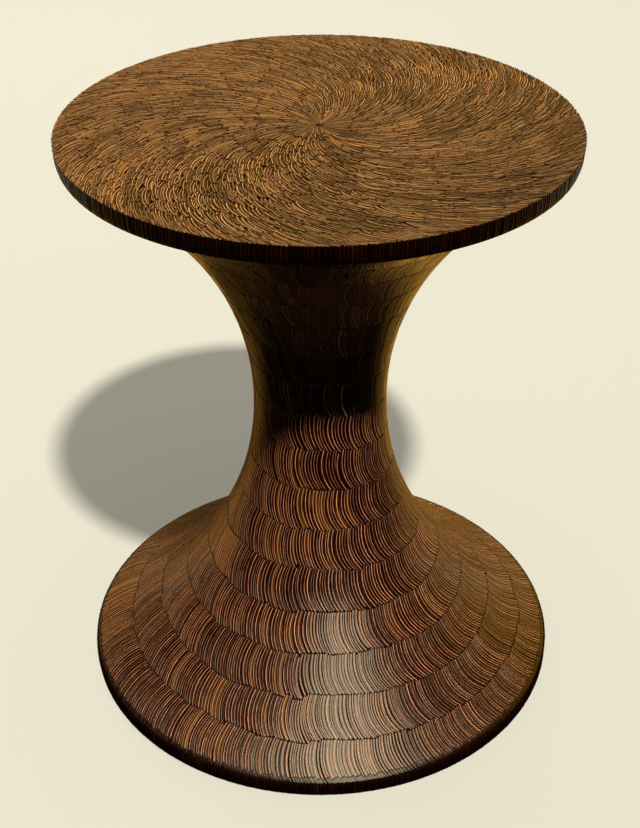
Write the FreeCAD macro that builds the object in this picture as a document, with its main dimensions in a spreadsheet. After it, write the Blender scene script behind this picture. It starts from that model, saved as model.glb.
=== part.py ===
import FreeCAD, Part
import math
import os
import Sketcher

# Round pedestal table: a waisted spool of two turned halves between two boards, covered in bowed split twigs.
# Millimetres, +Z up, the middle of the foot on the floor at the origin.

SIZES = {
    "table_height": 750,
    "top_diameter": 595,
    "top_thickness": 23,
    "waist_height": 391,
    "waist_diameter": 168,
    "head_diameter": 572,
    "foot_diameter": 625,
    "foot_rim_height": 20,
    "foot_board_thickness": 13,
    "twig_thickness": 3.2,
    "glue_line": 0.3,
    "seam_gap": 1.0,
    "bundle_gap": 0.8,
    "bundle_width": 110,
    "band_lift": 1.0,
    "waist_course_below": 33.5,
    "waist_course_above": 15.8,
    "twig_bow_radius": 84,
    "twig_bow_rise": 8,
    "swirl_lead_angle": 15,
    "swirl_trail_angle": 66,
    "rod_diameter": 16,
    "rod_clearance": 1.0,
    "thread_clearance": 0.2,
    "nut_across_flats": 24,
    "nut_height": 13,
    "washer_diameter": 50,
    "washer_thickness": 4,
    "recess_diameter": 60,
    "recess_depth": 26,
    "spigot_diameter": 60,
    "spigot_height": 25,
    "spigot_clearance": 0.3,
    "screw_diameter": 5,
    "screw_head_diameter": 10,
    "screw_head_height": 3,
    "screw_sink": 1.0,
    "screw_clearance": 0.2,
    "top_screw_length": 50,
    "foot_screw_length": 36,
    "screw_circle_diameter": 360,
}

LOWER_COURSES = 8
UPPER_COURSES = 8
SWIRL_RINGS = 7
SCREWS = 8
STAGGER_ANGLE = 137.5
CUT_MARGIN = 4
CUT_DEPTH = 16

doc = FreeCAD.newDocument("PedestalTable")
sheet = doc.addObject("Spreadsheet::Sheet", "Dims")
for row, (name, number) in enumerate(SIZES.items(), start=1):
    sheet.set(f"A{row}", name)
    sheet.set(f"B{row}", str(number))
    sheet.setAlias(f"B{row}", name)
doc.recompute()
derived = doc.addObject("App::VarSet", "Derived")


class Size:
    """A value and the expression that ties it to the sheet."""

    def __init__(self, text, value):
        self.text = text
        self.value = value

    def joined(self, sign, other, value):
        return Size(f"({self.text} {sign} {as_size(other).text})", value)

    def __add__(self, other):
        return self.joined("+", other, self.value + as_size(other).value)

    def __sub__(self, other):
        return self.joined("-", other, self.value - as_size(other).value)

    def __mul__(self, other):
        return self.joined("*", other, self.value * as_size(other).value)

    def __truediv__(self, other):
        return self.joined("/", other, self.value / as_size(other).value)

    def __rmul__(self, other):
        return as_size(other) * self

    def __radd__(self, other):
        return as_size(other) + self

    def __rsub__(self, other):
        return as_size(other) - self

    def __rtruediv__(self, other):
        return as_size(other) / self

    def __neg__(self):
        return Size(f"(0 - {self.text})", -self.value)


def as_size(number):
    return number if isinstance(number, Size) else Size(f"{number:.6g}", float(number))


def dim(name):
    return Size(f"Dims.{name}", float(sheet.get(name)))


def named(name, size):
    """Keep a derived size under its own name, so that later expressions stay short."""
    derived.addProperty("App::PropertyFloat", name, "Derived")
    derived.setExpression(name, size.text)
    return Size(f"Derived.{name}", size.value)


def root(size):
    return Size(f"sqrt({size.text})", math.sqrt(size.value))


def sine(angle):
    return Size(f"sin({angle.text} * 1 deg)", math.sin(math.radians(angle.value)))


def cosine(angle):
    return Size(f"cos({angle.text} * 1 deg)", math.cos(math.radians(angle.value)))


def arcsine(ratio):
    return Size(f"(asin({ratio.text}) / 1 deg)", math.degrees(math.asin(ratio.value)))


twig = dim("twig_thickness")
waist_radius = dim("waist_diameter") / 2
waist_height = dim("waist_height")
foot_radius = dim("foot_diameter") / 2
top_radius = dim("top_diameter") / 2
head_height = named("head_height", dim("table_height") - dim("top_thickness"))


class Flare:
    """One arc of the spool, upright at the waist; side is -1 for the foot flare and 1 for the head flare."""

    def __init__(self, label, side, run, rise):
        self.side = side
        self.rise = rise
        self.radius = named(f"{label}_flare_radius", (run * run + rise * rise) / (2 * run))
        self.sweep = named(f"{label}_flare_sweep", arcsine(rise / self.radius))
        self.centre_x = named(f"{label}_flare_centre", waist_radius + self.radius)
        self.core_radius = self.radius + twig + dim("glue_line")

    def reach(self, angle):
        return self.centre_x - self.radius * cosine(angle)

    def height(self, angle):
        return waist_height + self.side * self.radius * sine(angle)


lower = Flare("lower", -1, foot_radius - waist_radius, waist_height - dim("foot_rim_height"))
upper = Flare("upper", 1, dim("head_diameter") / 2 - waist_radius, head_height - waist_height)


def new_body(label, turn=0.0):
    body = doc.addObject("PartDesign::Body", label)
    body.Label = label
    body.AllowCompound = True
    body.Placement = FreeCAD.Placement(FreeCAD.Vector(), FreeCAD.Rotation(FreeCAD.Vector(0, 0, 1), turn))
    return body


def origin_feature(body, role):
    return next(item for item in body.Origin.OriginFeatures if item.Role == role)


def new_sketch(body, plane, name):
    sketch = body.newObject("Sketcher::SketchObject", f"{body.Name}_{name}")
    sketch.AttachmentSupport = [(origin_feature(body, plane), "")]
    sketch.MapMode = "FlatFace"
    return sketch


def bind(sketch, kind, *where, size):
    number = math.radians(size.value) if kind == "Angle" else size.value
    index = sketch.addConstraint(Sketcher.Constraint(kind, *where, number))
    text = f"{size.text} * 1 deg" if kind == "Angle" else size.text
    sketch.setExpression(f"Constraints[{index}]", text)


def join(sketch, first, first_end, second, second_end):
    sketch.addConstraint(Sketcher.Constraint("Coincident", first, first_end, second, second_end))


def place_point(sketch, geometry, end, x, y):
    bind(sketch, "DistanceX", -1, 1, geometry, end, size=as_size(x))
    bind(sketch, "DistanceY", -1, 1, geometry, end, size=as_size(y))


def add_arc(sketch, centre_x, centre_y, radius, first, last):
    """An arc whose ends point at its centre along the angles first and last (degrees)."""
    circle = Part.Circle(FreeCAD.Vector(centre_x.value, centre_y.value, 0), FreeCAD.Vector(0, 0, 1), radius.value)
    arc = Part.ArcOfCircle(circle, math.radians(first + 180), math.radians(last + 180))
    index = sketch.addGeometry(arc)
    bind(sketch, "Radius", index, size=radius)
    return index


def add_line(sketch, start, end):
    first = FreeCAD.Vector(start[0], start[1], 0)
    last = FreeCAD.Vector(end[0], end[1], 0)
    return sketch.addGeometry(Part.LineSegment(first, last))


def arc_point(centre_x, centre_y, radius, angle):
    turn = math.radians(angle + 180)
    return (centre_x.value + radius.value * math.cos(turn), centre_y.value + radius.value * math.sin(turn))


def end_angle(stop, flare, radius):
    """The angle at which an arc of this radius meets its end: a seam angle, the foot's edge or the head's plane."""
    kind, size = stop
    if kind == "edge":
        return math.degrees(math.acos((flare.centre_x.value - size.value) / radius.value))
    if kind == "plane":
        return math.degrees(math.asin(abs(size.value - waist_height.value) / radius.value))
    return size.value


def flare_band(sketch, flare, thickness, near, far):
    """The section of a skin on a flare, from the stop nearer the waist to the one farther off."""
    outer = flare.radius
    inner = flare.radius + thickness
    stops = (near, far) if flare.side < 0 else (far, near)
    turns = [[-flare.side * end_angle(stop, flare, radius) for stop in stops] for radius in (outer, inner)]
    arcs = [add_arc(sketch, flare.centre_x, waist_height, radius, *turn)
            for radius, turn in zip((outer, inner), turns)]
    join(sketch, arcs[0], 3, arcs[1], 3)
    place_point(sketch, arcs[0], 3, flare.centre_x, waist_height)
    for end, stop in enumerate(stops):
        points = [arc_point(flare.centre_x, waist_height, radius, turn[end])
                  for radius, turn in zip((inner, outer), (turns[1], turns[0]))]
        line = add_line(sketch, *points)
        join(sketch, line, 1, arcs[1], end + 1)
        join(sketch, line, 2, arcs[0], end + 1)
        kind, size = stop
        if kind == "edge":
            sketch.addConstraint(Sketcher.Constraint("Vertical", line))
            bind(sketch, "DistanceX", -1, 1, line, 1, size=size)
        elif kind == "plane":
            sketch.addConstraint(Sketcher.Constraint("Horizontal", line))
            bind(sketch, "DistanceY", -1, 1, line, 1, size=size)
        else:
            sketch.addConstraint(Sketcher.Constraint("PointOnObject", arcs[0], 3, line))
            bind(sketch, "Angle", line, size=-flare.side * size)


def bowed_slit(sketch, centre_x, centre_y, radius, width, first, last):
    """A thin band along an arc, closed by a line at each end."""
    radii = (radius - width / 2, radius + width / 2)
    arcs = [add_arc(sketch, centre_x, centre_y, size, first.value, last.value) for size in radii]
    join(sketch, arcs[0], 3, arcs[1], 3)
    place_point(sketch, arcs[0], 3, centre_x, centre_y)
    for end, angle in ((1, first), (2, last)):
        points = [arc_point(centre_x, centre_y, size, angle.value) for size in reversed(radii)]
        line = add_line(sketch, *points)
        join(sketch, line, 1, arcs[1], end)
        join(sketch, line, 2, arcs[0], end)
        sketch.addConstraint(Sketcher.Constraint("PointOnObject", arcs[0], 3, line))
        bind(sketch, "Angle", line, size=angle)


def outline(sketch, corners):
    """A closed run of straight lines through corners, each with its own sizes."""
    points = [(as_size(x), as_size(y)) for x, y in corners]
    lines = []
    for here, there in zip(points, points[1:] + points[:1]):
        lines.append(add_line(sketch, [size.value for size in here], [size.value for size in there]))
    for index, line in enumerate(lines):
        join(sketch, line, 2, lines[(index + 1) % len(lines)], 1)
        place_point(sketch, line, 1, *points[index])


def circle(sketch, radius, x=0, y=0):
    x, y = as_size(x), as_size(y)
    shape = Part.Circle(FreeCAD.Vector(x.value, y.value, 0), FreeCAD.Vector(0, 0, 1), radius.value)
    index = sketch.addGeometry(shape)
    place_point(sketch, index, 3, x, y)
    bind(sketch, "Radius", index, size=radius)


def raise_sketch(sketch, height):
    sketch.setExpression("AttachmentOffset.Base.z", as_size(height).text)


def add_feature(body, kind, sketch, name):
    feature = body.newObject(f"PartDesign::{kind}", f"{body.Name}_{name}")
    feature.Profile = sketch
    feature.Refine = False
    sketch.Visibility = False
    return feature


def revolve(body, sketch, name, kind="Revolution", axis="V_Axis"):
    feature = add_feature(body, kind, sketch, name)
    feature.ReferenceAxis = (sketch, [axis])
    feature.Angle = 360
    return feature


def pad(body, sketch, length, name):
    feature = add_feature(body, "Pad", sketch, name)
    feature.setExpression("Length", as_size(length).text)
    return feature


def pocket(body, sketch, depth, name, both_ways=False):
    feature = add_feature(body, "Pocket", sketch, name)
    feature.SideType = "Symmetric" if both_ways else "One side"
    feature.setExpression("Length", as_size(depth).text)
    return feature


def polar(body, feature, count):
    pattern = body.newObject("PartDesign::PolarPattern", f"{body.Name}_around")
    pattern.Originals = [feature]
    pattern.Axis = (origin_feature(body, "Z_Axis"), [""])
    pattern.Angle = 360
    pattern.Occurrences = count
    pattern.Refine = False
    body.Tip = pattern
    return pattern


def bundle_count(radius):
    return max(4, round(2 * math.pi * radius.value / dim("bundle_width").value))


def split_into_bundles(body, flare, middle, length, count):
    """Cut a course into bundles along the bow of its twigs."""
    half = length / 2 + CUT_MARGIN
    bow = dim("twig_bow_radius")
    rise = dim("twig_bow_rise")
    cut = new_sketch(body, "YZ_Plane", "bundle_line")
    bowed_slit(cut, bow, rise, bow, dim("bundle_gap"), -arcsine((half - rise) / bow), arcsine((half + rise) / bow))
    tilt = FreeCAD.Rotation(FreeCAD.Vector(flare.side, 0, 0), middle.value)
    cut.AttachmentOffset = FreeCAD.Placement(FreeCAD.Vector(), tilt)
    cut.setExpression("AttachmentOffset.Base.y", flare.height(middle).text)
    cut.setExpression("AttachmentOffset.Base.z", flare.reach(middle).text)
    cut.setExpression("AttachmentOffset.Rotation.Angle", middle.text)
    slit = pocket(body, cut, CUT_DEPTH, "bundle_cut", both_ways=True)
    polar(body, slit, count)


def flare_course(label, flare, near, far, turn):
    """One course of bowed twigs on a flare, between two stops."""
    body = new_body(label, turn)
    section = new_sketch(body, "XZ_Plane", "section")
    flare_band(section, flare, twig, near, far)
    revolve(body, section, "ring")
    last = far[1] if far[0] == "seam" else flare.sweep
    middle = (near[1] + last) / 2
    length = (last - near[1]) * flare.radius * (math.pi / 180)
    split_into_bundles(body, flare, middle, length, bundle_count(flare.reach(middle)))
    return body


def flare_courses(flare, count, first_number, step, waist_side, far_stop):
    """The courses of one flare, evenly spaced from the waist course to its end."""
    start = arcsine(waist_side / flare.radius)
    half_gap = dim("seam_gap") / (2 * flare.radius) * (180 / math.pi)
    courses = []
    for index in range(count):
        near = start + (flare.sweep - start) * index / count
        far = start + (flare.sweep - start) * (index + 1) / count
        number = first_number + step * index
        stop = far_stop if index == count - 1 else ("seam", far - half_gap)
        courses.append(flare_course(f"pedestal_course_{number:02d}", flare, ("seam", near + half_gap), stop,
                                    number * STAGGER_ANGLE))
    return courses


def waist_course(label, turn):
    """The course that straddles the waist, where the two flares meet."""
    body = new_body(label, turn)
    half_gap = dim("seam_gap") / 2
    sides = ((lower, dim("waist_course_below") - half_gap), (upper, dim("waist_course_above") - half_gap))
    for flare, reach in sides:
        section = new_sketch(body, "XZ_Plane", "below" if flare.side < 0 else "above")
        flare_band(section, flare, twig, ("plane", waist_height), ("seam", arcsine(reach / flare.radius)))
        revolve(body, section, "ring_below" if flare.side < 0 else "ring_above")
    height = dim("waist_course_below") + dim("waist_course_above")
    middle = arcsine((dim("waist_course_below") - height / 2) / lower.radius)
    split_into_bundles(body, lower, middle, height, bundle_count(waist_radius))
    return body


def swirl_ring(label, index, turn):
    """One ring of the vortex on the top, cut into bundles along twigs that bow from the lead to the trail angle."""
    body = new_body(label, turn)
    field = top_radius - twig
    half_gap = dim("seam_gap") / 2
    inner = field * index / SWIRL_RINGS
    outer = field * (index + 1) / SWIRL_RINGS
    level = dim("table_height") - twig
    ring = new_sketch(body, "XY_Plane", "ring")
    raise_sketch(ring, level)
    circle(ring, outer - half_gap)
    if index:
        circle(ring, inner + half_gap)
    pad(body, ring, twig, "plate")
    lead, trail = dim("swirl_lead_angle"), dim("swirl_trail_angle")
    bow = (outer - inner) / (sine(trail) - sine(lead))
    overrun = CUT_MARGIN * (180 / math.pi) / bow
    first = lead + 90 - (overrun if index else 0)
    last = trail + 90 + overrun
    cut = new_sketch(body, "XY_Plane", "bundle_line")
    raise_sketch(cut, dim("table_height"))
    bowed_slit(cut, inner - bow * sine(lead), bow * cosine(lead), bow, dim("bundle_gap"), first, last)
    slit = pocket(body, cut, twig * 2, "bundle_cut", both_ways=True)
    polar(body, slit, bundle_count((inner + outer) / 2))
    return body


def edge_band(label, radius, section_corners, turn):
    """Upright twigs around a rim, cut into bundles."""
    body = new_body(label, turn)
    section = new_sketch(body, "XZ_Plane", "section")
    outline(section, section_corners)
    revolve(body, section, "ring")
    half = dim("bundle_gap") / 2
    cut = new_sketch(body, "XY_Plane", "bundle_line")
    near, far = radius - twig * 2, radius + twig
    outline(cut, ((near, -half), (far, -half), (far, half), (near, half)))
    slit = pocket(body, cut, 2 * dim("table_height") + CUT_DEPTH, "bundle_cut", both_ways=True)
    polar(body, slit, bundle_count(radius))
    return body


def top_edge_band():
    inside = top_radius - twig
    low, high = head_height, dim("table_height")
    ease = twig / 3
    corners = ((inside, low), (top_radius - ease, low), (top_radius, low + ease), (top_radius, high - ease),
               (top_radius - ease, high), (inside, high))
    return edge_band("top_edge_band", top_radius, corners, 0)


def under_twigs_at(radius):
    """Height of the lower core's turned face at a radius."""
    run = lower.centre_x - radius
    return waist_height - root(lower.core_radius * lower.core_radius - run * run)


def foot_edge_band():
    inside = foot_radius - twig
    low = dim("band_lift")
    corners = ((inside, low), (foot_radius, low), (foot_radius, under_twigs_at(foot_radius)),
               (inside, under_twigs_at(inside)))
    return edge_band("foot_edge_band", foot_radius, corners, STAGGER_ANGLE)


def core_section(sketch, flare, edge_points, far_kind, far_size):
    """Half a spool: the turned arc, closed along the axis; edge_points run from the arc's far end to the axis."""
    radius = flare.core_radius
    far = end_angle((far_kind, far_size), flare, radius)
    turns = (0, far) if flare.side < 0 else (-far, 0)
    arc = add_arc(sketch, flare.centre_x, waist_height, radius, *turns)
    place_point(sketch, arc, 3, flare.centre_x, waist_height)
    waist_end, far_end = (1, 2) if flare.side < 0 else (2, 1)
    zero = as_size(0)
    far_point = arc_point(flare.centre_x, waist_height, radius, -flare.side * far)
    points = [(x.value, y.value) for x, y in edge_points]
    path = [far_point] + points + [(0, waist_height.value), (waist_radius.value - twig.value, waist_height.value)]
    lines = [add_line(sketch, first, last) for first, last in zip(path, path[1:])]
    for first, second in zip(lines, lines[1:]):
        join(sketch, first, 2, second, 1)
    join(sketch, lines[0], 1, arc, far_end)
    join(sketch, lines[-1], 2, arc, waist_end)
    bind(sketch, "DistanceX" if far_kind == "edge" else "DistanceY", -1, 1, arc, far_end, size=far_size)
    for line, (x, y) in zip(lines, edge_points):
        place_point(sketch, line, 2, x, y)
    place_point(sketch, lines[-2], 2, zero, waist_height)
    bind(sketch, "DistanceY", -1, 1, arc, waist_end, size=waist_height)


def bore(body, name, radius, depth, height, upward):
    """A round hole in a core, cut up or down from a height."""
    sketch = new_sketch(body, "XY_Plane", name)
    raise_sketch(sketch, height)
    circle(sketch, radius)
    feature = pocket(body, sketch, depth, f"{name}_cut")
    feature.Reversed = upward
    return feature


def screw_profile(sketch, length, face, down, hole):
    """Half the outline of a sunk screw on the screw circle, or of its hole; down is the way its point faces."""
    at = dim("screw_circle_diameter") / 2
    slack = dim("screw_clearance") / 2 if hole else as_size(0)
    radius = dim("screw_diameter") / 2 + slack
    head = dim("screw_head_diameter") / 2 + slack
    seat = face + down * dim("screw_sink")
    neck = seat + down * dim("screw_head_height")
    tip = seat + down * (length + slack)
    mouth = ((at, face), (at + head, face)) if hole else ((at, seat),)
    outline(sketch, mouth + ((at + head, seat), (at + radius, neck), (at + radius, tip - down * radius), (at, tip)))
    axis = add_line(sketch, (at.value, 0), (at.value, length.value))
    sketch.setConstruction(axis, True)
    sketch.addConstraint(Sketcher.Constraint("Vertical", axis))
    place_point(sketch, axis, 1, at, 0)
    bind(sketch, "DistanceY", axis, 1, axis, 2, size=length)


def screws(label, length, face, down):
    body = new_body(label)
    sketch = new_sketch(body, "XZ_Plane", "profile")
    screw_profile(sketch, length, face, down, hole=False)
    polar(body, revolve(body, sketch, "screw", axis="Axis0"), SCREWS)
    return body


def screw_holes(body, length, face, down):
    sketch = new_sketch(body, "XZ_Plane", "screw_profile")
    screw_profile(sketch, length, face, down, hole=True)
    polar(body, revolve(body, sketch, "screw_hole", kind="Groove", axis="Axis0"), SCREWS)


top_face = dim("table_height") - twig
foot_face = as_size(0)
foot_board = dim("foot_board_thickness")
rod_hole = dim("rod_diameter") / 2 + dim("rod_clearance") / 2


def lower_core():
    body = new_body("lower_core")
    section = new_sketch(body, "XZ_Plane", "section")
    edge = foot_radius - twig - dim("glue_line")
    core_section(section, lower, [(edge, foot_board), (as_size(0), foot_board)], "edge", edge)
    revolve(body, section, "turned")
    spigot = new_sketch(body, "XY_Plane", "spigot")
    raise_sketch(spigot, waist_height)
    circle(spigot, dim("spigot_diameter") / 2)
    pad(body, spigot, dim("spigot_height"), "spigot_pad")
    bore(body, "rod_hole", rod_hole, dim("table_height"), foot_board, True)
    bore(body, "nut_recess", dim("recess_diameter") / 2, dim("recess_depth"), foot_board, True)
    screw_holes(body, dim("foot_screw_length"), foot_face, 1)
    return body


def upper_core():
    body = new_body("upper_core")
    section = new_sketch(body, "XZ_Plane", "section")
    core_section(section, upper, [(as_size(0), head_height)], "plane", head_height)
    revolve(body, section, "turned")
    socket = dim("spigot_diameter") / 2 + dim("spigot_clearance") / 2
    bore(body, "spigot_socket", socket, dim("spigot_height") + dim("spigot_clearance"), waist_height, True)
    bore(body, "rod_hole", rod_hole, dim("table_height"), head_height, False)
    bore(body, "nut_recess", dim("recess_diameter") / 2, dim("recess_depth"), head_height, False)
    screw_holes(body, dim("top_screw_length"), top_face, -1)
    return body


def board(label, radius, level, thickness, screw_length, face, down):
    body = new_body(label)
    disc = new_sketch(body, "XY_Plane", "disc")
    raise_sketch(disc, level)
    circle(disc, radius)
    pad(body, disc, thickness, "plate")
    screw_holes(body, screw_length, face, down)
    return body


lower_bed = foot_board + dim("recess_depth")
upper_bed = head_height - dim("recess_depth")
rod_overrun = dim("washer_thickness") + dim("nut_height") + dim("rod_diameter") / 4


def tie_rod():
    body = new_body("tie_rod")
    sketch = new_sketch(body, "XY_Plane", "rod")
    raise_sketch(sketch, lower_bed - rod_overrun)
    circle(sketch, dim("rod_diameter") / 2)
    pad(body, sketch, upper_bed - lower_bed + 2 * rod_overrun, "bar")
    return body


def rod_rings(label, heights, thickness, draw):
    """The same ring at both ends of the rod."""
    body = new_body(label)
    for place, height in zip(("foot", "head"), heights):
        sketch = new_sketch(body, "XY_Plane", place)
        raise_sketch(sketch, height)
        draw(sketch)
        circle(sketch, dim("rod_diameter") / 2 + dim("thread_clearance") / 2)
        pad(body, sketch, thickness, f"{place}_ring")
    return body


def hexagon(sketch):
    corner = dim("nut_across_flats") / math.sqrt(3)
    half = corner / 2
    flat = dim("nut_across_flats") / 2
    outline(sketch, ((corner, 0), (half, flat), (-half, flat), (-corner, 0), (-half, -flat), (half, -flat)))


def build():
    bodies = [lower_core(), upper_core(), tie_rod()]
    washer, nut = dim("washer_thickness"), dim("nut_height")
    bodies.append(rod_rings("tie_rod_washers", (lower_bed - washer, upper_bed), washer,
                            lambda sketch: circle(sketch, dim("washer_diameter") / 2)))
    bodies.append(rod_rings("tie_rod_nuts", (lower_bed - washer - nut, upper_bed + washer), nut, hexagon))
    bodies.append(board("top_board", top_radius - twig - dim("glue_line"), head_height, dim("top_thickness") - twig,
                        dim("top_screw_length"), top_face, -1))
    bodies.append(board("foot_board", foot_radius - twig - dim("glue_line"), foot_face, foot_board,
                        dim("foot_screw_length"), foot_face, 1))
    bodies.append(screws("top_screws", dim("top_screw_length"), top_face, -1))
    bodies.append(screws("foot_screws", dim("foot_screw_length"), foot_face, 1))
    bodies.append(top_edge_band())
    bodies.append(foot_edge_band())
    for index in range(SWIRL_RINGS):
        bodies.append(swirl_ring(f"top_swirl_ring_{index + 1}", index, index * STAGGER_ANGLE))
    bodies.extend(flare_courses(lower, LOWER_COURSES, LOWER_COURSES, -1, dim("waist_course_below"),
                                ("edge", foot_radius)))
    bodies.append(waist_course(f"pedestal_course_{LOWER_COURSES + 1:02d}", STAGGER_ANGLE))
    bodies.extend(flare_courses(upper, UPPER_COURSES, LOWER_COURSES + 2, 1, dim("waist_course_above"),
                                ("plane", head_height)))
    return bodies


def write(bodies):
    doc.recompute()
    os.makedirs("parts", exist_ok=True)
    for body in bodies:
        for item in body.Group:
            if "Invalid" in item.State or "Error" in item.State:
                raise RuntimeError(f"{item.Label} did not build")
        if body.Shape.isNull() or not body.Shape.isValid():
            raise RuntimeError(f"{body.Label} is not a sound solid")
        body.Shape.exportStep(f"parts/{body.Label}.step")
        print(body.Label, len(body.Shape.Solids), round(body.Shape.Volume))


write(build())
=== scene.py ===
import math

import bpy
import numpy as np
from mathutils import Matrix, Vector


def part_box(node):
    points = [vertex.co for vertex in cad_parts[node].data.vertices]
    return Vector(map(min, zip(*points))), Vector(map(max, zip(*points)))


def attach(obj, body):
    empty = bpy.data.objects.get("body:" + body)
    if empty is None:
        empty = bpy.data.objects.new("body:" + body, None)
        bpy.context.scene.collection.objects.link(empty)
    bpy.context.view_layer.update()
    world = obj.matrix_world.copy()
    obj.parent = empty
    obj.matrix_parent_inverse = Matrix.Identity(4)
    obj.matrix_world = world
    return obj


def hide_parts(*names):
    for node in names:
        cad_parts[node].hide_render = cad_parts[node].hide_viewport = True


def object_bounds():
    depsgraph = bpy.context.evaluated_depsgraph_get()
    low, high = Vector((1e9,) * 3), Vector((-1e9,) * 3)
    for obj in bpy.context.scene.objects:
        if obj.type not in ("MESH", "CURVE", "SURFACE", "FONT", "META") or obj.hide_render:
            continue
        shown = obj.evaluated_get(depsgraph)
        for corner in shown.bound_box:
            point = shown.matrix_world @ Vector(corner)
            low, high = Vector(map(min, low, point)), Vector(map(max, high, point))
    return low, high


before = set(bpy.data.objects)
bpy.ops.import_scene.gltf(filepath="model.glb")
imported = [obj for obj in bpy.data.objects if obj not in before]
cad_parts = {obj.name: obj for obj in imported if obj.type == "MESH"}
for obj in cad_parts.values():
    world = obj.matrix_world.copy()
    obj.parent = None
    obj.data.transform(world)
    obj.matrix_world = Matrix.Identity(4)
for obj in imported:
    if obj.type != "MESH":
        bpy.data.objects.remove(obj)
cad_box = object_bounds()

# Metres throughout, in the CAD frame: +Z up, the photographed side faces -Y.
# Shares, stations and the values of the materials are plain numbers.
TABLE_HEIGHT = cad_box[1].z
TOP_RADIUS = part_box("top_edge_band")[1].x
FOOT_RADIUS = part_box("foot_edge_band")[1].x
HEAD_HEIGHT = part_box("upper_core")[1].z
WAIST_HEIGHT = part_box("upper_core")[0].z
WAIST_RADIUS = 0.084
HEAD_RADIUS = 0.286
FOOT_RIM_HEIGHT = 0.020
FOOT_LIFT = 0.001
RIM_ROUND = 0.010
TWIG_THICKNESS = 0.0032

# All twigs: how uneven they are in width, and how alike in shade those of one branch are.
WIDTH_SPREAD = 0.28
WIDTH_LIMITS = (0.5, 1.8)
NEW_BRANCH_CHANCE = 0.22
BRANCH_SHADE = 0.5
BRANCH_SHADE_SPREAD = 0.13
TWIG_SHADE_SPREAD = 0.2

# Across a twig: a broad crown, rubbed nearly flat, with round shoulders. Its ends are lower.
PROFILE_ACROSS = np.array([-1, -0.96, -0.84, 0, 0.84, 0.96, 1])
PROFILE_RISE = np.array([0, 0.8, 0.97, 1, 0.97, 0.8, 0])
PROFILE_POINTS = len(PROFILE_ACROSS)
END_RISE = 0.85

# The flat layout for baking: shares of the cell that each twig has to itself.
BAKE_MARGIN = 0.04
BAKE_CAP_ROOM = 0.08
BAKE_CAP = 0.06
BAKE_CELL_SLIMNESS = 4

# The courses of the pedestal. Travel is measured along the outline from the waist, negative below
# it. A twig's bow is an arc of radius TWIG_BOW, deepest at TWIG_BOW_RISE above the twig's middle.
WAIST_COURSE = (-0.0335, 0.0158)
LOWER_COURSES = 8
UPPER_COURSES = 8
COURSES = LOWER_COURSES + 1 + UPPER_COURSES
COURSE_STATIONS = np.array([0, 0.015, 0.1, 0.27, 0.44, 0.6, 0.76, 0.9, 0.985, 1])
FOOT_STATIONS = np.array([0, 0.015, 0.04, 0.07, 0.1, 0.13, 0.27, 0.44, 0.6, 0.76, 0.9, 0.985, 1])
# Painted glints and shade: pedestal twigs are lighter on the left and darker on the right.
COURSE_PAINTED_LIGHT = 0.15
TWIG_PITCH = 0.0040
TWIG_BOW = 0.062
TWIG_BOW_RISE = 0.008
TWIG_ROUND = 0.0003
TWIG_SUNK = 0.0004
TWIG_DRIFT = 0.0006
TWIG_DRIFT_NEIGHBOURS = 9
TWIG_STRAY = 0.0002
TWIG_END_TAPER = 0.9
SLIM_TWIGS = 0.25
SLIM_WIDTH = (0.78, 0.90)
FULL_WIDTH = (0.97, 1.04)
# Painted shade on the foot's rim: the lowest twigs are painted dark where the rim turns down.
RIM_PAINTED_SHADE = 0.0085
RIM_PAINTED_SHADE_STRAY = 0.002

# The seams between courses, looser from the foot up to the waist. Their steps drift round the
# pedestal by so many radians for each metre of travel.
SEAM_GAP = 0.0004
SEAM_STEP = 0.0045
SEAM_STEP_ANGLE = math.radians(-91)
SEAM_STEP_DRIFT = math.radians(-45)
SEAM_TILT = 0.009
SEAM_TOOTH = 0.034
SEAM_TOOTH_REACH = 0.0027
SEAM_TEETH_LEAST = 6
SEAM_LOOSE = 0.0005
SEAM_LOOSE_GAIN = 0.0010
SEAM_LOOSE_RUN = 0.25

# The vortex of the top. Its twigs turn by so many radians for each metre outwards, and hook by so
# many for each square metre.
SWIRL_RINGS = 7
SWIRL_ROWS = 13
SWIRL_STATIONS = np.array([0, 0.16, 0.32, 0.48, 0.64, 0.8, 0.97, 1])
SWIRL_HALF_WAY = 3
SWIRL_PITCH = 0.0031
SWIRL_MIDDLE_PITCH = SWIRL_PITCH * 0.6
SWIRL_MIDDLE_START = (0.0005, 0.004)
SWIRL_HALF_WIDEST = SWIRL_PITCH * 0.54
SWIRL_WIDTH = (0.90, 1.02)
SWIRL_ROUND = 0.0007
SWIRL_SUNK = 0.0005
SWIRL_SLOPE = 0.0010
SWIRL_TURN = 3.3
SWIRL_HOOK = 150.0
SWIRL_TILT = 0.03
SWIRL_TILT_NEIGHBOURS = 5
SWIRL_RAGGED = 0.016
SWIRL_LOCK_REACH = SWIRL_RAGGED * 0.4
SWIRL_LOCK_TWIGS = 4
SWIRL_LOCKS_LEAST = 5
SWIRL_END_STRAY = 0.6
SWIRL_UNDERLAP = 0.006
SWIRL_RIM_GAP = 0.0002
SWIRL_END_TAPER = 0.7
# Painted sheen: the top's twigs are lighter towards the back left, darker towards the front right.
SWIRL_PAINTED_SHEEN = 0.15
SWIRL_PAINTED_SHEEN_BACKWARD = 0.6

# The bands of upright twigs round the top and the foot.
EDGE_STATIONS = np.array([0, 0.06, 0.16, 0.28, 0.5, 0.94, 1])
EDGE_PITCH = 0.0038
EDGE_OVERLAP = 1.12
EDGE_LEAN = 0.0010
EDGE_SUNK = 0.0003
EDGE_TUCK = 0.003
EDGE_TUCKED_SHARE = 0.5
EDGE_DROP = 0.0008
FOOT_EDGE_UPRIGHT = 0.0006
FOOT_EDGE_STATIONS = np.linspace(0, 1, 5)

rng = np.random.default_rng(7)


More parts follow.
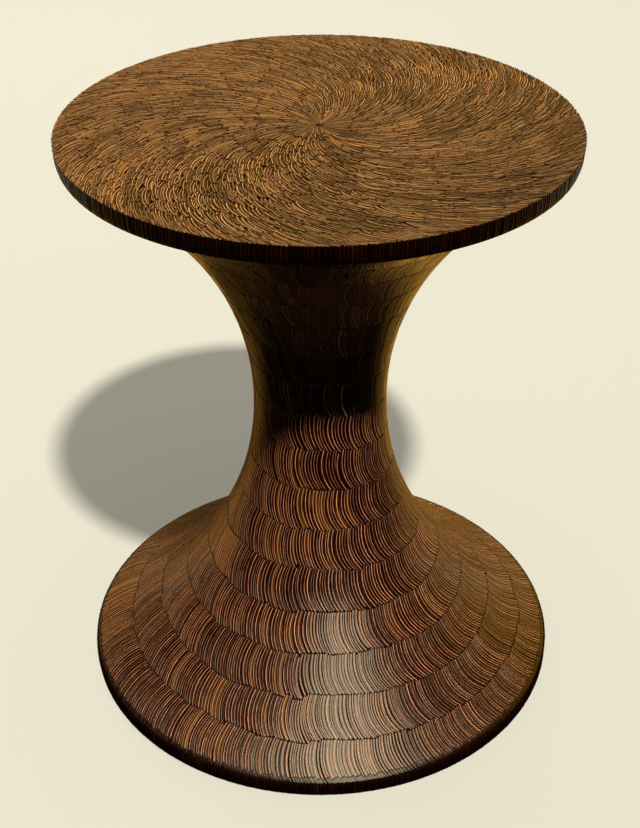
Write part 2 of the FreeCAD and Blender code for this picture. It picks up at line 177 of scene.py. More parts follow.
class Flare:
    """One arc of the spool's outline, upright at the waist."""

    def __init__(self, run, rise):
        self.radius = (run ** 2 + rise ** 2) / (2 * run)
        self.length = self.radius * math.asin(rise / self.radius)

    def course_ends(self, start, count):
        """Even steps along the arc, from the waist course's end to the arc's own."""
        return np.linspace(start, self.length, count + 1)


LOWER = Flare(FOOT_RADIUS - WAIST_RADIUS, WAIST_HEIGHT - FOOT_RIM_HEIGHT)
UPPER = Flare(HEAD_RADIUS - WAIST_RADIUS, HEAD_HEIGHT - WAIST_HEIGHT)


def on_spool(travel):
    """Radius, height and turn of the outline at a travel from the waist, negative below it."""
    bend = np.where(travel < 0, LOWER.radius, UPPER.radius)
    turn = travel / bend
    return WAIST_RADIUS + bend * (1 - np.cos(turn)), WAIST_HEIGHT + bend * np.sin(turn), turn


# The foot's rim is rounded from the flare to the upright band. In section, the middle of that
# round, and the turn at which it leaves the flare:
RIM_MIDDLE_RADIUS = FOOT_RADIUS - RIM_ROUND
RIM_MIDDLE_RUN = WAIST_RADIUS + LOWER.radius - RIM_MIDDLE_RADIUS
RIM_MIDDLE_HEIGHT = WAIST_HEIGHT - math.sqrt(
    (LOWER.radius + RIM_ROUND) ** 2 - RIM_MIDDLE_RUN ** 2)
RIM_TURN = math.atan2(RIM_MIDDLE_HEIGHT - WAIST_HEIGHT, RIM_MIDDLE_RUN)


def on_rim(turn):
    """Radius, height and turn of the rounded rim: turn 0 on the band, RIM_TURN on the flare."""
    radius = RIM_MIDDLE_RADIUS + RIM_ROUND * np.cos(turn)
    return radius, RIM_MIDDLE_HEIGHT - RIM_ROUND * np.sin(turn), turn


def on_foot(travel):
    """As on_spool, with the last of the flare bent half way over the rim."""
    start = LOWER.radius * RIM_TURN
    over = np.clip((start - travel) / (start + LOWER.length), 0, 1)
    return [np.where(over > 0, bent, plain)
            for bent, plain in zip(on_rim(RIM_TURN * (1 - over / 2)), on_spool(travel))]


def round_the_axis(radius, angle, height):
    """Points, or directions, from arrays that broadcast together."""
    return np.stack(np.broadcast_arrays(radius * np.cos(angle), radius * np.sin(angle), height),
                    axis=-1)


def facing(turn, angle):
    """The outward direction of a surface that has turned so far from upright."""
    return round_the_axis(np.cos(turn), angle, -np.sin(turn))


def ragged_edge(teeth, reach):
    """A function of the angle: a run of short slanted teeth, as bundles of twigs leave them."""
    starts = np.sort(rng.uniform(0, math.tau, teeth))
    widths = np.diff(np.append(starts, starts[0] + math.tau))
    first = rng.uniform(-reach, reach, teeth)
    last = rng.uniform(-reach, reach, teeth)

    def offset(angle):
        turned = np.mod(angle - starts[0], math.tau) + starts[0]
        tooth = np.clip(np.searchsorted(starts, turned, side="right") - 1, 0, teeth - 1)
        share = (turned - starts[tooth]) / widths[tooth]
        return first[tooth] + (last[tooth] - first[tooth]) * share

    return offset


def unit(vectors):
    return vectors / np.linalg.norm(vectors, axis=-1, keepdims=True)


def strips_object(name, line, outward, half_width, material, node, round_height=TWIG_ROUND,
                  trimmed=0.0, painted_light_shift=0.0, shaded_near_end=0.0):
    """Rounded twigs, from (twig, station) arrays: line runs along their crowns.

    For each twig, trimmed is the length cut off at its far end, faded is a painted light shift
    added to its shade, and stained is the length at its near end that is painted dark, as shade.
    """
    twigs, stations = line.shape[:2]
    along = unit(np.gradient(line, axis=1))
    across = unit(np.cross(along, outward))
    side = half_width[..., None, None] * PROFILE_ACROSS[:, None] * across[:, :, None, :]
    from_end = np.minimum(np.arange(stations), np.arange(stations)[::-1])
    fullness = np.minimum(1, from_end + END_RISE)
    rise = round_height * (fullness[:, None] * PROFILE_RISE - 1)
    points = line[:, :, None, :] + side + rise[None, :, :, None] * outward[:, :, None, :]

    ring = np.arange(PROFILE_POINTS)
    station = np.arange(stations - 1)[:, None]
    here = station * PROFILE_POINTS + ring
    there = station * PROFILE_POINTS + np.roll(ring, -1)
    quads = np.stack([here, there, there + PROFILE_POINTS, here + PROFILE_POINTS], axis=-1)
    starts = np.arange(twigs) * stations * PROFILE_POINTS
    sides = (starts[:, None, None] + quads.reshape(-1, 4)).reshape(-1, 4)
    near_caps = starts[:, None] + ring[::-1]
    far_caps = starts[:, None] + ring + (stations - 1) * PROFILE_POINTS
    caps = np.concatenate([near_caps, far_caps])
    mesh = bpy.data.meshes.new(name)
    mesh.from_pydata(points.reshape(-1, 3).tolist(), [], sides.tolist() + caps.tolist())

    underside = slice(PROFILE_POINTS - 1, len(sides), PROFILE_POINTS)
    smooth = np.ones(len(sides) + len(caps), dtype=bool)
    smooth[underside] = False
    smooth[len(sides):] = False
    mesh.polygons.foreach_set("use_smooth", smooth)

    steps = np.linalg.norm(np.diff(line, axis=1), axis=2)
    length = np.concatenate([np.zeros((twigs, 1)), np.cumsum(steps, axis=1)], axis=1)
    each = np.broadcast_arrays(trimmed, painted_light_shift, shaded_near_end, length[:, 0])
    add_twig_values(mesh, length, *each[:3])
    add_bake_map(mesh, length)
    mesh.materials.append(material)
    piece = bpy.data.objects.new(name, mesh)
    bpy.context.scene.collection.objects.link(piece)
    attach(piece, "root")
    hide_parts(node)


def add_twig_values(mesh, length, trimmed, painted_light_shift, shaded_near_end):
    """What the materials read: each twig's shade and tint, and the place along and across it."""
    to_near_end = length - shaded_near_end[:, None]
    to_far_end = length[:, -1:] - length + trimmed[:, None]
    values = {
        # A twig's shade: the tone of its branch, plus the painted light shift.
        "twig_shade": (shades_by_branch(len(length)) + painted_light_shift)[:, None, None],
        "twig_tint": rng.uniform(0, 1, len(length))[:, None, None],
        "twig_along": length[:, :, None],
        "twig_end": np.minimum(to_near_end, to_far_end)[:, :, None],
        "twig_across": PROFILE_ACROSS[None, None, :],
    }
    for name, value in values.items():
        layer = mesh.attributes.new(name, "FLOAT", "POINT")
        full = np.broadcast_to(value, (*length.shape, PROFILE_POINTS))
        layer.data.foreach_set("value", full.astype(np.float32).ravel())


def add_bake_map(mesh, length):
    """A flat layout of the surface: every twig unrolled in its own cell of a grid."""
    twigs = len(length)
    share = BAKE_CAP_ROOM + (1 - 2 * BAKE_CAP_ROOM) * (length / length[:, -1:]).mean(axis=0)
    ring = np.arange(PROFILE_POINTS)
    around = np.stack([ring, ring + 1, ring + 1, ring], axis=-1) / PROFILE_POINTS
    upward = np.stack([share[:-1], share[:-1], share[1:], share[1:]], axis=-1)[:, None, :]
    sides = np.stack(np.broadcast_arrays(around, upward), axis=-1).reshape(-1, 2)
    cap = np.stack([0.5 + 0.5 * PROFILE_ACROSS, BAKE_CAP * PROFILE_RISE], axis=-1)
    columns = math.ceil(math.sqrt(twigs * BAKE_CELL_SLIMNESS))
    rows = math.ceil(twigs / columns)
    cell = np.stack([np.arange(twigs) % columns, np.arange(twigs) // columns], axis=-1)[:, None, :]

    def placed(corners):
        inside = BAKE_MARGIN + (1 - 2 * BAKE_MARGIN) * corners
        return ((cell + inside) / (columns, rows)).ravel()

    layer = mesh.uv_layers.new(name="OFBake")
    corners = [placed(sides), placed(cap[::-1]), placed(cap + (0, 1 - BAKE_CAP))]
    layer.data.foreach_set("uv", np.concatenate(corners))


def shades_by_branch(twigs):
    """A shade for each twig; those split from one branch lie side by side and are alike."""
    branch = np.cumsum(rng.random(twigs) < NEW_BRANCH_CHANCE)
    branch_shades = rng.normal(BRANCH_SHADE, BRANCH_SHADE_SPREAD, branch[-1] + 1)
    return np.clip(branch_shades[branch] + rng.normal(0, TWIG_SHADE_SPREAD, twigs), 0, 1)


def uneven_places(twigs):
    """Middles and widths, as angles, of twigs of uneven width that fill a circle."""
    widths = np.clip(rng.normal(1, WIDTH_SPREAD, twigs), *WIDTH_LIMITS)
    widths *= math.tau / widths.sum()
    return np.cumsum(widths) - widths / 2 + rng.random() * math.tau, widths


def shared_drift(twigs, neighbours):
    """A random value for each twig, alike among neighbours, about 1 in spread."""
    window = np.hanning(neighbours + 2)[1:-1]
    loose = rng.normal(0, 1, twigs)
    wrapped = np.concatenate([loose[-neighbours:], loose, loose[:neighbours]])
    drift = np.convolve(wrapped, window, "same")[neighbours:-neighbours]
    return drift / drift.std()


def seam_line(travel):
    """Where two courses meet, as a function of the angle: a slow helix that closes in a step."""
    circumference = math.tau * float(on_spool(np.array(travel))[0])
    step_angle = SEAM_STEP_ANGLE + SEAM_STEP_DRIFT * (travel + LOWER.length)
    tooth_count = max(SEAM_TEETH_LEAST, round(circumference / SEAM_TOOTH))
    teeth = ragged_edge(tooth_count, SEAM_TOOTH_REACH)
    risen = np.clip((travel + SEAM_LOOSE_RUN) / SEAM_LOOSE_RUN, 0, 1)
    loose = SEAM_LOOSE + SEAM_LOOSE_GAIN * risen

    def ends(angle):
        helix = SEAM_STEP * (0.5 - np.mod(angle - step_angle, math.tau) / math.tau)
        tilt = -SEAM_TILT * np.cos(angle)
        return travel + helix + tilt + teeth(angle) + rng.uniform(-loose, loose, angle.shape)

    return ends


def level_line(travel):
    """The trimmed end of the lowest or the highest course, in the same form as a seam."""
    return lambda angle: np.full_like(angle, travel)


def pedestal_course(number, low, high, low_seam, high_seam, material):
    """One course of twigs that bow to the left between two seams."""
    at_foot = number == 1
    stations = FOOT_STATIONS if at_foot else COURSE_STATIONS
    middle = (low + high) / 2
    middle_radius = float(on_spool(np.array(middle))[0])
    twigs = round(math.tau * middle_radius / TWIG_PITCH)
    first, widths = uneven_places(twigs)

    def bowed(above):
        bow = TWIG_BOW - np.sqrt(TWIG_BOW ** 2 - (above - TWIG_BOW_RISE) ** 2)
        return bow / middle_radius

    gap = SEAM_GAP if number < COURSES else 0
    bottom = low_seam(first + bowed(low - middle))
    top = high_seam(first + bowed(high - middle)) - gap
    travel = bottom[:, None] + (top - bottom)[:, None] * stations
    drift = shared_drift(twigs, TWIG_DRIFT_NEIGHBOURS) * TWIG_DRIFT
    drift = drift + rng.normal(0, TWIG_STRAY, twigs)
    above = travel - (bottom + top)[:, None] / 2
    swayed = drift[:, None] / middle_radius * np.sin(math.pi * stations)
    angle = first[:, None] + bowed(above) + swayed
    radius, height, turn = on_foot(travel) if at_foot else on_spool(travel)
    outward = facing(turn, angle)
    sunk = rng.uniform(0, TWIG_SUNK, twigs)[:, None, None]
    line = round_the_axis(radius, angle, height) - sunk * outward
    lean = np.gradient(angle, axis=1) * radius / np.gradient(travel, axis=1)
    slim = rng.random(twigs) < SLIM_TWIGS
    fill = np.where(slim, rng.uniform(*SLIM_WIDTH, twigs), rng.uniform(*FULL_WIDTH, twigs))
    half_width = radius * widths[:, None] / 2 / np.sqrt(1 + lean ** 2) * fill[:, None]
    half_width[:, [0, -1]] *= TWIG_END_TAPER
    # Painted glints and shade: a twig's shade shifts with the side of the pedestal it lies on.
    painted_light_shift = -COURSE_PAINTED_LIGHT * np.cos(first)
    shaded_near_end = 0.0
    # Painted shade: the lowest twigs end dark over the rounded rim.
    if at_foot:
        shaded_near_end = RIM_PAINTED_SHADE + rng.uniform(-RIM_PAINTED_SHADE_STRAY, RIM_PAINTED_SHADE_STRAY, twigs)
    node = f"pedestal_course_{number:02d}"
    strips_object(f"twigs_of_course_{number:02d}", line, outward, half_width, material,
                  node, painted_light_shift=painted_light_shift, shaded_near_end=shaded_near_end)


def pedestal_courses(materials):
    """The courses from the foot up; materials lists the finish of each of them in turn."""
    lower_ends = -LOWER.course_ends(-WAIST_COURSE[0], LOWER_COURSES)
    upper_ends = UPPER.course_ends(WAIST_COURSE[1], UPPER_COURSES)
    ends = np.concatenate([lower_ends[::-1], upper_ends])
    between = [seam_line(travel) for travel in ends[1:-1]]
    seams = [level_line(ends[0]), *between, level_line(ends[-1])]
    for index, material in enumerate(materials):
        pedestal_course(index + 1, ends[index], ends[index + 1], seams[index], seams[index + 1],
                        material)


def swirl_row(name, node, inner, outer, material):
    """A row of the vortex: twigs that start under the row inside and end higher, unevenly."""
    middle = (inner + outer) / 2
    pitch = SWIRL_PITCH if inner else SWIRL_MIDDLE_PITCH
    twigs = round(math.tau * middle / math.hypot(1, middle * SWIRL_TURN) / pitch)
    first, widths = uneven_places(twigs)
    locks = ragged_edge(max(SWIRL_LOCKS_LEAST, twigs // SWIRL_LOCK_TWIGS), SWIRL_LOCK_REACH)
    if inner:
        begin = inner - SWIRL_RAGGED - rng.uniform(0, SWIRL_UNDERLAP, twigs)
    else:
        begin = rng.uniform(*SWIRL_MIDDLE_START, twigs)
    stray = rng.uniform(-SWIRL_END_STRAY, SWIRL_END_STRAY, twigs) * SWIRL_RAGGED
    wanted = outer + locks(first) + stray + (0 if inner else SWIRL_RAGGED)
    finish = np.minimum(wanted, TOP_RADIUS - SWIRL_RIM_GAP)
    distance = begin[:, None] + (finish - begin)[:, None] * SWIRL_STATIONS
    beyond = distance - (begin + finish)[:, None] / 2
    tilt = shared_drift(twigs, SWIRL_TILT_NEIGHBOURS) * SWIRL_TILT
    tilt = tilt + rng.normal(0, SWIRL_TILT, twigs)
    hooked = SWIRL_HOOK / 2 * beyond ** 2
    turned = SWIRL_TURN * distance + hooked + tilt[:, None] * beyond / middle
    angle = first[:, None] + turned
    sunk = rng.uniform(0, SWIRL_SUNK, twigs)[:, None]
    height = TABLE_HEIGHT - sunk - SWIRL_SLOPE * (1 - SWIRL_STATIONS)
    line = round_the_axis(distance, angle, height)
    outward = np.broadcast_to(np.array([0.0, 0.0, 1.0]), line.shape)
    lean = distance * np.gradient(angle, axis=1) / np.gradient(distance, axis=1)
    fill = widths[:, None] * twigs / math.tau * rng.uniform(*SWIRL_WIDTH, twigs)[:, None]
    half_pitch = distance * math.pi / twigs / np.sqrt(1 + lean ** 2)
    half_width = np.minimum(half_pitch, SWIRL_HALF_WIDEST) * fill
    half_width[:, -1] *= np.where(wanted > finish, 1, SWIRL_END_TAPER)
    half_way = line[:, SWIRL_HALF_WAY]
    # Painted sheen: each twig's shade shifts by where it lies on the top.
    painted_light_shift = SWIRL_PAINTED_SHEEN * (SWIRL_PAINTED_SHEEN_BACKWARD * half_way[:, 1] - half_way[:, 0]) / TOP_RADIUS
    strips_object(name, line, outward, half_width, material, node,
                  round_height=SWIRL_ROUND, trimmed=wanted - finish, painted_light_shift=painted_light_shift)


def swirl(material):
    """Rows of twigs from the middle to the rim, and a last one that the rim trims."""
    step = (TOP_RADIUS - TWIG_THICKNESS) / SWIRL_ROWS
    for row in range(SWIRL_ROWS + 1):
        ring = min(int((row + 0.5) * SWIRL_RINGS / SWIRL_ROWS), SWIRL_RINGS - 1) + 1
        name = f"twigs_of_swirl_ring_{ring}_row_{row + 1}"
        swirl_row(name, f"top_swirl_ring_{ring}", row * step, (row + 1) * step, material)


def edge_band(name, node, radius, height, turn, material):
    """Short upright twigs round a rim; radius, height and turn follow one from its foot up."""
    first, widths = uneven_places(round(math.tau * radius[0] / EDGE_PITCH))
    twigs = len(first)
    lean = rng.normal(0, EDGE_LEAN, twigs)[:, None]
    angle = first[:, None] + lean * np.linspace(-0.5, 0.5, len(height))
    outward = facing(turn, angle)
    sunk = rng.uniform(0, EDGE_SUNK, twigs)[:, None, None]
    line = round_the_axis(radius, angle, height) - sunk * outward
    half_width = radius / 2 * widths[:, None] * EDGE_OVERLAP
    strips_object(name, line, outward, half_width, material, node,
                  round_height=TWIG_THICKNESS)


def top_edge(material):
    """The band of the top: its lower half curves in, and the top's twigs run out over it."""
    rise = TABLE_HEIGHT - EDGE_DROP - HEAD_HEIGHT
    below = np.clip(1 - EDGE_STATIONS / EDGE_TUCKED_SHARE, 0, 1)
    turn = np.arctan(2 * EDGE_TUCK * below / (EDGE_TUCKED_SHARE * rise))
    radius = TOP_RADIUS - EDGE_TUCK * below ** 2
    height = HEAD_HEIGHT + rise * EDGE_STATIONS
    edge_band("twigs_of_top_edge", "top_edge_band", radius, height, turn, material)


def foot_edge(material):
    """The band of the foot, bent at its upper end half way over the rounded rim."""
    radius, height, turn = on_rim(RIM_TURN / 2 * FOOT_EDGE_STATIONS)
    upright = np.array([FOOT_LIFT, FOOT_LIFT + FOOT_EDGE_UPRIGHT])
    edge_band("twigs_of_foot_edge", "foot_edge_band", np.append(np.full(2, FOOT_RADIUS), radius),
              np.append(upright, height), np.append(np.zeros(2), turn), material)


class Shade:
    """A socket of a material; arithmetic on it adds the nodes that work it out."""

    def __init__(self, tree, socket=None):
        self.tree = tree
        self.socket = socket

    def node(self, kind, settings, inputs, output=0):
        """Any node: its settings first, then the values or links of its sockets."""
        made = self.tree.nodes.new(kind)
        for name, setting in settings.items():
            setattr(made, name, setting)
        for place, value in inputs.items():
            if isinstance(value, Shade):
                self.tree.links.new(value.socket, made.inputs[place])
            else:
                made.inputs[place].default_value = value
        return Shade(self.tree, made.outputs[output])

    def maths(self, operation, *values):
        return self.node("ShaderNodeMath", {"operation": operation}, dict(enumerate(values)))

    def __add__(self, other):
        return self.maths("ADD", self, other)

    def __radd__(self, other):
        return self.maths("ADD", other, self)

    def __sub__(self, other):
        return self.maths("SUBTRACT", self, other)

    def __rsub__(self, other):
        return self.maths("SUBTRACT", other, self)

    def __mul__(self, other):
        return self.maths("MULTIPLY", self, other)

    def clamped(self, low, high):
        """0 below low, 1 above high and even between."""
        names = {"From Min": low, "From Max": high, "To Min": 0.0, "To Max": 1.0, "Value": self}
        return self.node("ShaderNodeMapRange", {}, names)

    def attribute(self, name):
        return self.node("ShaderNodeAttribute", {"attribute_name": name}, {}, "Fac")

    def place(self, kind):
        return self.node("ShaderNodeTexCoord", {}, {}, kind)

    def part(self, axis):
        return self.node("ShaderNodeSeparateXYZ", {}, {0: self}, axis)

    def ray(self, kind):
        return self.node("ShaderNodeLightPath", {}, {}, kind)

    def point(self, x, y, z):
        return self.node("ShaderNodeCombineXYZ", {}, {0: x, 1: y, 2: z})

    def noise(self, place, detail, scale=1.0):
        names = {"Vector": place, "Scale": scale, "Detail": detail}
        return self.node("ShaderNodeTexNoise", {}, names)

    def blend(self, amount, first, second):
        """A colour between two, each a colour or a shade that carries one."""
        names = {0: amount, 6: first, 7: second}
        return self.node("ShaderNodeMix", {"data_type": "RGBA"}, names, 2)


def colour(red, green, blue):
    """A colour as seen on screen, 0 to 255, in the linear light that sockets take."""
    shares = [value / 255 for value in (red, green, blue)]
    linear = [share / 12.92 if share <= 0.04045 else ((share + 0.055) / 1.055) ** 2.4
              for share in shares]
    return (*linear, 1.0)


def new_material(name):
    material = bpy.data.materials.new(name)
    material.use_nodes = True
    return material, material.node_tree.nodes["Principled BSDF"]


def feed(material, shader, **inputs):
    for name, shade in inputs.items():
        material.node_tree.links.new(shade.socket, shader.inputs[name.replace("_", " ")])


# The finish of the twigs. Grain and blotches run along a twig, so many to the metre; tint and
# shade, times these numbers, give each twig a place of its own in the noise.
GRAIN_ALONG = 90
GRAIN_ACROSS = 1.4
GRAIN_APART = (40, 30)
BLOTCH_ALONG = 45
BLOTCH_APART = (90, 50)
GOLDEN_RANGE = (0.86, 1.04)
GOLDEN_IN_STAIN = 0.1
GOLDEN_IN_LINE = 0.7
STAIN_RANGE = (0.42, 1.02)
PALE_GRAIN = (0.2, 0.55)
LINE_WANDER = 0.5
LINE_CORE = 0.06
LINE_FULL_AT = 1.0
END_DARK = 0.0004
END_FRAYED = -0.002
GRAIN_DULL = 0.1
PALE_LINE_DULL = 0.4
FRAYED_DULL = 0.4
LACQUER_TONE = colour(255, 238, 198)
GRAIN_RELIEF = {"Strength": 0.03, "Distance": 0.0004}


def twig_material(name, dark, middle, light, rare, line_reach, end, gloss, sheen, even=0.35, line_shade_from=0.4):
    """Stained twigs under lacquer, with a pale line along their crowns: partly paler wood
    rubbed through, partly a painted highlight.

    rub is the line's reach across a twig and end its distance from the twig's ends. even is the
    share of the line that all twigs have, and worn the shade from which a twig has more.
    """
    material, shader = new_material(name)
    make = Shade(material.node_tree)
    shade = make.attribute("twig_shade")
    tint = make.attribute("twig_tint")
    along = make.attribute("twig_along")
    across = make.attribute("twig_across")
    twig_end = make.attribute("twig_end")
    grain_place = make.point(along * GRAIN_ALONG, across * GRAIN_ACROSS + tint * GRAIN_APART[0],
                             shade * GRAIN_APART[1])
    grain = make.noise(grain_place, detail=3.0)
    blotch_place = make.point(along * BLOTCH_ALONG, tint * BLOTCH_APART[0], shade * BLOTCH_APART[1])
    blotch = make.noise(blotch_place, detail=1.0)
    golden = (shade * 0.8 + blotch * 0.5).clamped(*GOLDEN_RANGE)
    depth = (shade * 0.6 + grain * 0.4 + blotch * 0.4).clamped(*STAIN_RANGE)
    stain = make.blend(golden * GOLDEN_IN_STAIN, make.blend(depth, dark, middle), rare)
    pale = make.blend(grain.clamped(*PALE_GRAIN), middle, light)
    pale = make.blend(golden * GOLDEN_IN_LINE, pale, rare)
    # The pale line: paler wood where rubbed, and a painted highlight along the crown.
    off_line = make.maths("ABSOLUTE", across + tint * LINE_WANDER - LINE_WANDER / 2)
    line = 1 - off_line.clamped(LINE_CORE, line_reach)
    line_strength = (shade + blotch * 0.5).clamped(line_shade_from, LINE_FULL_AT)
    rubbed_and_highlight = line * (even + line_strength * (1 - even))
    # Darker towards the twigs' ends; over the foot's rim this is painted shade.
    clear = twig_end.clamped(END_DARK, end)
    frayed = (1 - clear) * twig_end.clamped(END_FRAYED, 0.0)
    wood = make.blend(clear, dark, make.blend(rubbed_and_highlight, stain, pale))
    dull = gloss + grain * GRAIN_DULL + rubbed_and_highlight * PALE_LINE_DULL + frayed * FRAYED_DULL
    bump = make.node("ShaderNodeBump", {}, {**GRAIN_RELIEF, "Height": grain})
    feed(material, shader, Base_Color=wood, Roughness=dull, Normal=bump)
    shader.inputs["Specular IOR Level"].default_value = sheen
    shader.inputs["Specular Tint"].default_value = LACQUER_TONE
    return material


def stained_wood(name, dark, light):
    """Dark stain on the core and the boards, which show only in the gaps between twigs."""
    material, shader = new_material(name)
    make = Shade(material.node_tree)
    drawn_out = {"Vector": make.place("Object"), "Scale": (40, 40, 6)}
    streaks = make.noise(make.node("ShaderNodeMapping", {}, drawn_out), detail=4.0)
    wood = make.blend(streaks.clamped(0.3, 0.7), dark, light)
    feed(material, shader, Base_Color=wood, Roughness=0.55 + streaks * 0.2)
    shader.inputs["Specular IOR Level"].default_value = 0.1
    return material


def plated_steel(name):
    """Steel with small scuffs, for the rod, its nuts and washers, and the screws."""
    material, shader = new_material(name)
    make = Shade(material.node_tree)
    scuffs = make.noise(make.place("Object"), detail=3.0, scale=300.0)
    steel = make.blend(scuffs, colour(150, 150, 152), colour(188, 188, 190))
    feed(material, shader, Base_Color=steel, Roughness=0.3 + scuffs * 0.2)
    shader.inputs["Metallic"].default_value = 1.0
    return material


def pale_floor_material():
    """Pale to the eye; in the lacquer, dark before the table, golden behind it, then pale again."""
    golden_from, pale_from = (0.1, 0.6), (0.95, 1.15)
    dark, golden, pale = colour(30, 22, 14), colour(226, 168, 74), colour(222, 219, 202)
    plain, glow, no_glow = colour(198, 196, 180), colour(110, 109, 101), colour(0, 0, 0)
    material, shader = new_material("pale_floor")
    make = Shade(material.node_tree)
    seen = make.ray("Is Camera Ray")
    mirrored = make.ray("Is Glossy Ray")
    distance = make.place("Object").part("Y")
    behind = make.blend(distance.clamped(*pale_from), golden, pale)
    ground = make.blend(mirrored * distance.clamped(*golden_from), dark, behind)
    feed(material, shader, Base_Color=make.blend(seen, ground, plain))
    feed(material, shader, Emission_Color=make.blend(seen, no_glow, glow))
    shader.inputs["Emission Strength"].default_value = 1.0
    shader.inputs["Roughness"].default_value = 0.9
    shader.inputs["Specular IOR Level"].default_value = 0.1
    return material


def dress_hidden_parts():
    """Finishes for the CAD solids: boards, core and steel. Those that twigs replace never show."""
    board = stained_wood("stained_board", colour(20, 10, 7), colour(38, 20, 13))
    core = stained_wood("stained_core", colour(14, 7, 5), colour(28, 14, 9))
    steel = plated_steel("plated_steel")
    wooden = {"top_board": board, "foot_board": board, "upper_core": core, "lower_core": core}
    for name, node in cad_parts.items():
        node.data.materials.clear()
        node.data.materials.append(wooden.get(name, steel))


FLOOR_REACH = 30.0


def floor():
    mesh = bpy.data.meshes.new("floor")
    corners = [(-FLOOR_REACH, -FLOOR_REACH, 0), (FLOOR_REACH, -FLOOR_REACH, 0),
               (FLOOR_REACH, FLOOR_REACH, 0), (-FLOOR_REACH, FLOOR_REACH, 0)]
    mesh.from_pydata(corners, [], [(0, 1, 2, 3)])
    mesh.materials.append(pale_floor_material())
    plane = bpy.data.objects.new("floor", mesh)
    bpy.context.scene.collection.objects.link(plane)


LAMP_AIM = Vector((0, 0, 0.4))


def towards(azimuth, elevation):
    """A lamp's direction from the table: azimuth 0 is the camera's side, positive to the right."""
    turn, lift = math.radians(azimuth), math.radians(elevation)
    level = math.cos(lift)
    return Vector((math.sin(turn) * level, -math.cos(turn) * level, math.sin(lift)))


def soft_box(name, azimuth, elevation, distance, width, height, power, tone):
    """An oblong lamp aimed at the table."""
    lamp = bpy.data.lights.new(name, "AREA")
    lamp.shape = "RECTANGLE"
    lamp.size = width
    lamp.size_y = height
    lamp.energy = power
    lamp.color = tone
    box = bpy.data.objects.new(name, lamp)
    away = towards(azimuth, elevation)
    box.location = LAMP_AIM + away * distance
    box.rotation_euler = away.to_track_quat("Z", "Y").to_euler()
    bpy.context.scene.collection.objects.link(box)
    return box


def sunlight(azimuth, elevation, strength, spread, tone):
    """A sun that lights the twigs but leaves no mirror image in the lacquer."""
    lamp = bpy.data.lights.new("sunlight", "SUN")
    lamp.energy = strength
    lamp.angle = spread
    lamp.color = tone
    sun = bpy.data.objects.new("sunlight", lamp)
    sun.rotation_euler = towards(azimuth, elevation).to_track_quat("Z", "Y").to_euler()
    sun.visible_glossy = False
    bpy.context.scene.collection.objects.link(sun)


def sky():
    """Pale overhead and dark elsewhere; in the lacquer, golden behind the table."""
    dark, golden = (0.02, 0.016, 0.01, 1.0), (1.0, 0.54, 0.03, 1.0)
    overhead, backdrop = (1.0, 0.97, 0.91, 1.0), colour(238, 232, 209)
    world = bpy.data.worlds.new("sky")
    world.use_nodes = True
    make = Shade(world.node_tree)
    place = make.place("Generated")
    right, back, height = place.part("X"), place.part("Y"), place.part("Z")
    glow = (back + right * 0.3).clamped(0.15, 0.95) * make.ray("Is Glossy Ray")
    low = make.blend(glow, dark, golden)
    dome = make.blend(height.clamped(0.85, 0.97), low, overhead)
    dome = make.blend(make.ray("Is Camera Ray"), dome, backdrop)
    background = world.node_tree.nodes["Background"]
    world.node_tree.links.new(dome.socket, background.inputs["Color"])
    bpy.context.scene.world = world


def studio():
    """A high sun shapes the twigs, a tall window lays the sheen, a weak lamp fills the back."""
    sunlight(azimuth=17, elevation=57, strength=3.7, spread=math.radians(3), tone=(1.0, 0.96, 0.90))
    window = soft_box("window", azimuth=15, elevation=49, distance=3.0, width=1.9, height=3.2,
                      power=77, tone=(1.0, 1.0, 1.0))
    window.visible_diffuse = False
    fill = soft_box("fill", azimuth=200, elevation=35, distance=3.5, width=2.5, height=2.5,
                    power=14, tone=(1.0, 0.95, 0.88))
    fill.visible_glossy = False
    sky()
    bpy.context.scene.view_settings.view_transform = "Standard"


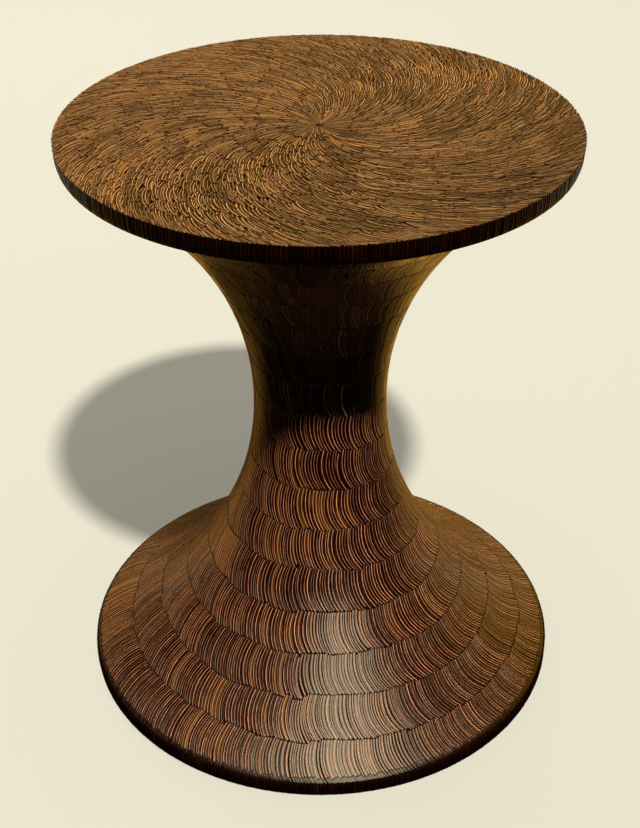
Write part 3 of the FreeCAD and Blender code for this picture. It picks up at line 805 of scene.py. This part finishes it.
# The camera that fits the photograph's outlines, for an image of 640 by 828 pixels.
IMAGE_HEIGHT = 828
SENSOR_MILLIMETRES = 36.0
FOCAL_PIXELS = 1452.82
CAMERA_PLACE = Vector((-0.0002, -1.5386, 1.3889))
CAMERA_DOWN = math.radians(33.835)
CAMERA_ROLL = math.radians(-0.235)


def camera():
    lens = bpy.data.cameras.new("camera")
    lens.sensor_width = SENSOR_MILLIMETRES
    lens.lens = FOCAL_PIXELS / IMAGE_HEIGHT * SENSOR_MILLIMETRES
    eye = bpy.data.objects.new("camera", lens)
    tilt = Matrix.Rotation(math.pi / 2 - CAMERA_DOWN, 4, "X")
    roll = Matrix.Rotation(CAMERA_ROLL, 4, "Z")
    eye.matrix_world = Matrix.Translation(CAMERA_PLACE) @ tilt @ roll
    bpy.context.scene.collection.objects.link(eye)
    bpy.context.scene.camera = eye


def build():
    # In each finish the pale line along the crowns is partly rubbed wood, partly painted highlight.
    top = twig_material("top_twigs", dark=colour(32, 6, 0), middle=colour(101, 46, 3),
                        light=colour(255, 220, 148), rare=colour(232, 174, 86),
                        line_reach=0.23, end=0.0030, gloss=0.48, sheen=0.25)
    pedestal = {"dark": colour(26, 3, 0), "middle": colour(54, 12, 1), "end": 0.0007, "gloss": 0.15}
    # The pedestal's pale lines: rubbed wood and painted highlight.
    rubbed_and_highlight = {"light": colour(252, 179, 134), "rare": colour(224, 150, 70), "line_reach": 0.20}
    foot = twig_material("foot_twigs", **pedestal, **rubbed_and_highlight, sheen=0.9)
    waist = twig_material("waist_twigs", **pedestal, **rubbed_and_highlight, sheen=0.62)
    # The neck, in the top's shadow: fewer and paler lines, as painted glints of light.
    neck = twig_material("neck_twigs", **pedestal, light=colour(255, 238, 220),
                         rare=colour(240, 190, 120), line_reach=0.24, sheen=0.4, even=0.05, line_shade_from=0.8)
    edge = twig_material("edge_twigs", dark=colour(8, 2, 1), middle=colour(18, 5, 3),
                         light=colour(44, 15, 8), rare=colour(66, 28, 15),
                         line_reach=0.30, end=0.0010, gloss=0.20, sheen=0.06)
    dress_hidden_parts()
    swirl(top)
    pedestal_courses([foot] * 6 + [waist] * 3 + [neck] * 8)
    top_edge(edge)
    foot_edge(edge)
    floor()
    studio()
    camera()


build()
